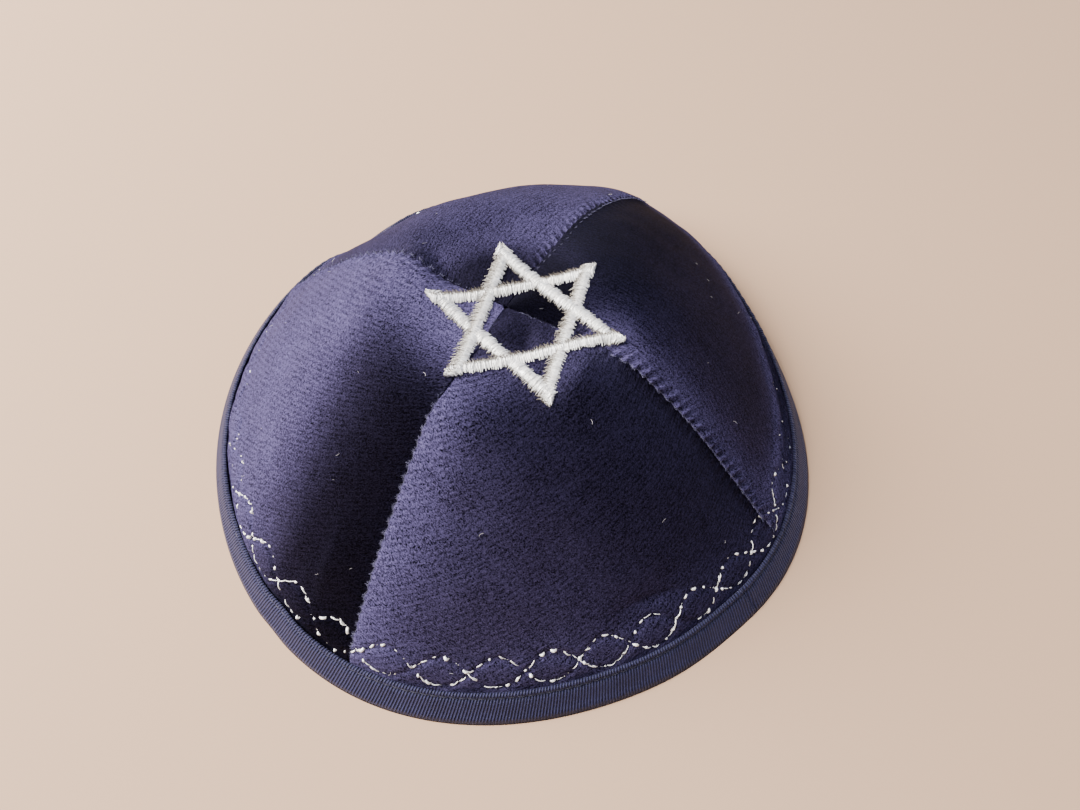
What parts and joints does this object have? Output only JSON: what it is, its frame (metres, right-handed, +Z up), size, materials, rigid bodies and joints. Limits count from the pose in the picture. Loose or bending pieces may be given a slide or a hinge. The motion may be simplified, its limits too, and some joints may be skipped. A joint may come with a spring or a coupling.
{
  "type": "kippah skullcap",
  "caption": "Soft velvet skullcap of sewn gores with a folded satin rim binding and a raised embroidered hexagram on the crown, worn on the top of the head.",
  "frame": {"origin": "on the surface that the cap rests on, under the middle of its outline", "axes": "+Z up through the crown, -Y towards the front gore, +X to the wearer's left"},
  "size_m": [0.1656, 0.1678, 0.051],
  "materials": {
    "velvet": "dark navy short-pile velvet",
    "satin_tape": "navy ribbed satin bias tape",
    "silver_thread": "silver-white satin-stitch thread"
  },
  "bodies": {
    "root": {"panel_front": "velvet", "panel_right": "velvet", "panel_back": "velvet", "panel_left": "velvet", "rim_binding": "satin_tape", "star_embroidery": "silver_thread"}
  },
  "joints": []
}
